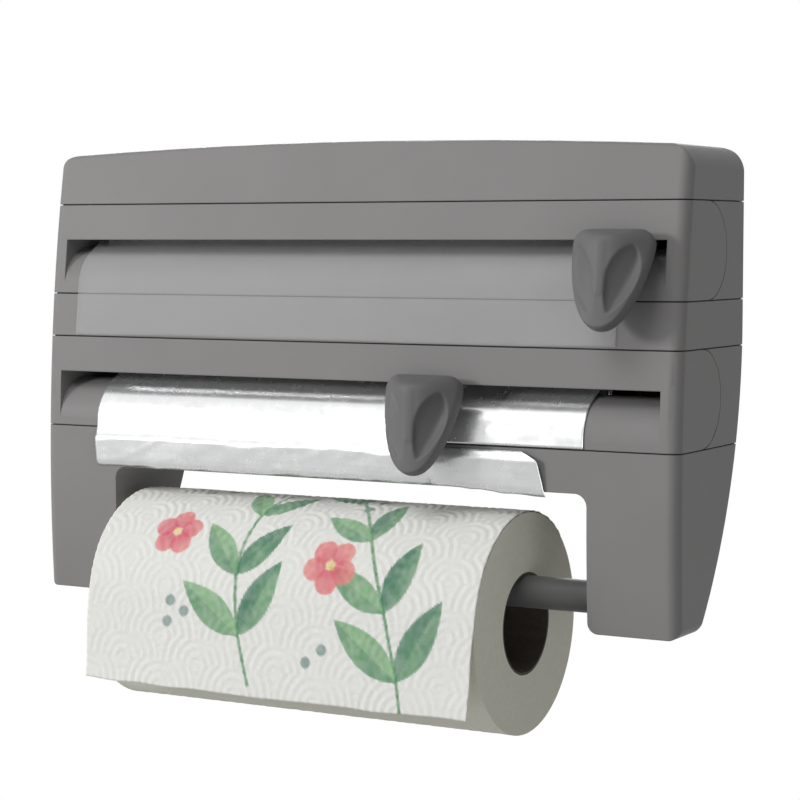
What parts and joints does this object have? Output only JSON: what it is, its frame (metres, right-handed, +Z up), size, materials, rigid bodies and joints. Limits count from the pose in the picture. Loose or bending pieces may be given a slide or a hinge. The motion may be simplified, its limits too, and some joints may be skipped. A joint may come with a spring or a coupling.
{
  "type": "kitchen roll dispenser",
  "caption": "Wall-mounted kitchen dispenser for cling film, foil and paper, with pull-out fronts, sliding cutters and a sprung rod between two arms.",
  "frame": {"origin": "on the wall plane, midway between the two wall screws", "axes": "+X along the rolls to the right, +Y into the wall, +Z up"},
  "size_m": [0.38, 0.1285, 0.3012],
  "materials": {
    "body_plastic": "satin moulded",
    "grip_plastic": "satin moulded",
    "rod_plastic": "satin",
    "steel": "bright",
    "cling_film": "clear film",
    "wound_film": "clear film, wound",
    "foil": "bright foil",
    "cardboard": "bare cardboard",
    "paper": "embossed"
  },
  "bodies": {
    "housing": {"back_plate": "body_plastic", "top_cover": "body_plastic", "upper_shell": "body_plastic", "middle_rail": "body_plastic", "lower_shell": "body_plastic", "arm_frame": "body_plastic", "case_screws": "steel", "paper_sheet": "paper"},
    "film_cassette": {"film_front": "body_plastic", "film_tray": "body_plastic", "film_cutter_rail": "steel", "film_sheet": "cling_film"},
    "film_cutter": {"film_knob": "grip_plastic", "film_carriage": "grip_plastic", "film_blade": "steel"},
    "film_roll": {"film_core": "cardboard", "film_wound": "wound_film"},
    "foil_cassette": {"foil_front": "body_plastic", "foil_tray": "body_plastic", "foil_cutter_rail": "steel", "foil_sheet": "foil"},
    "foil_cutter": {"foil_knob": "grip_plastic", "foil_carriage": "grip_plastic", "foil_blade": "steel"},
    "foil_roll": {"foil_core": "cardboard", "foil_wound": "foil"},
    "rod": {"rod_sleeve": "rod_plastic", "rod_spring": "steel"},
    "rod_plunger": {"rod_plunger": "rod_plastic"},
    "paper_roll": {"paper_core": "cardboard", "paper_wound": "paper"}
  },
  "joints": [
    {"name": "film_cassette_slide", "type": "slide", "parent": "housing", "child": "film_cassette", "axis": [0, -1, 0], "range_m": [0, 0.075]},
    {"name": "film_cutter_slide", "type": "slide", "parent": "film_cassette", "child": "film_cutter", "axis": [1, 0, 0], "range_m": [-0.3215, 0.0095]},
    {"name": "film_roll_spin", "type": "hinge", "parent": "film_cassette", "child": "film_roll", "pos_m": [0, -0.0306, -0.0015], "axis": [1, 0, 0], "continuous": true},
    {"name": "foil_cassette_slide", "type": "slide", "parent": "housing", "child": "foil_cassette", "axis": [0, -1, 0], "range_m": [0, 0.075]},
    {"name": "foil_cutter_slide", "type": "slide", "parent": "foil_cassette", "child": "foil_cutter", "axis": [1, 0, 0], "range_m": [-0.2205, 0.1105]},
    {"name": "foil_roll_spin", "type": "hinge", "parent": "foil_cassette", "child": "foil_roll", "pos_m": [0, -0.0335, -0.0745], "axis": [1, 0, 0], "continuous": true},
    {"name": "rod_spin", "type": "hinge", "parent": "housing", "child": "rod", "pos_m": [0, -0.066, -0.172], "axis": [1, 0, 0], "continuous": true},
    {"name": "rod_plunger_slide", "type": "slide", "parent": "rod", "child": "rod_plunger", "axis": [1, 0, 0], "range_m": [0, 0.012], "stiffness_N_per_m": 300, "springref_m": -0.02, "deforming": ["rod_spring"]},
    {"name": "paper_roll_spin", "type": "hinge", "parent": "housing", "child": "paper_roll", "pos_m": [0, -0.066, -0.1885], "axis": [1, 0, 0], "continuous": true}
  ]
}
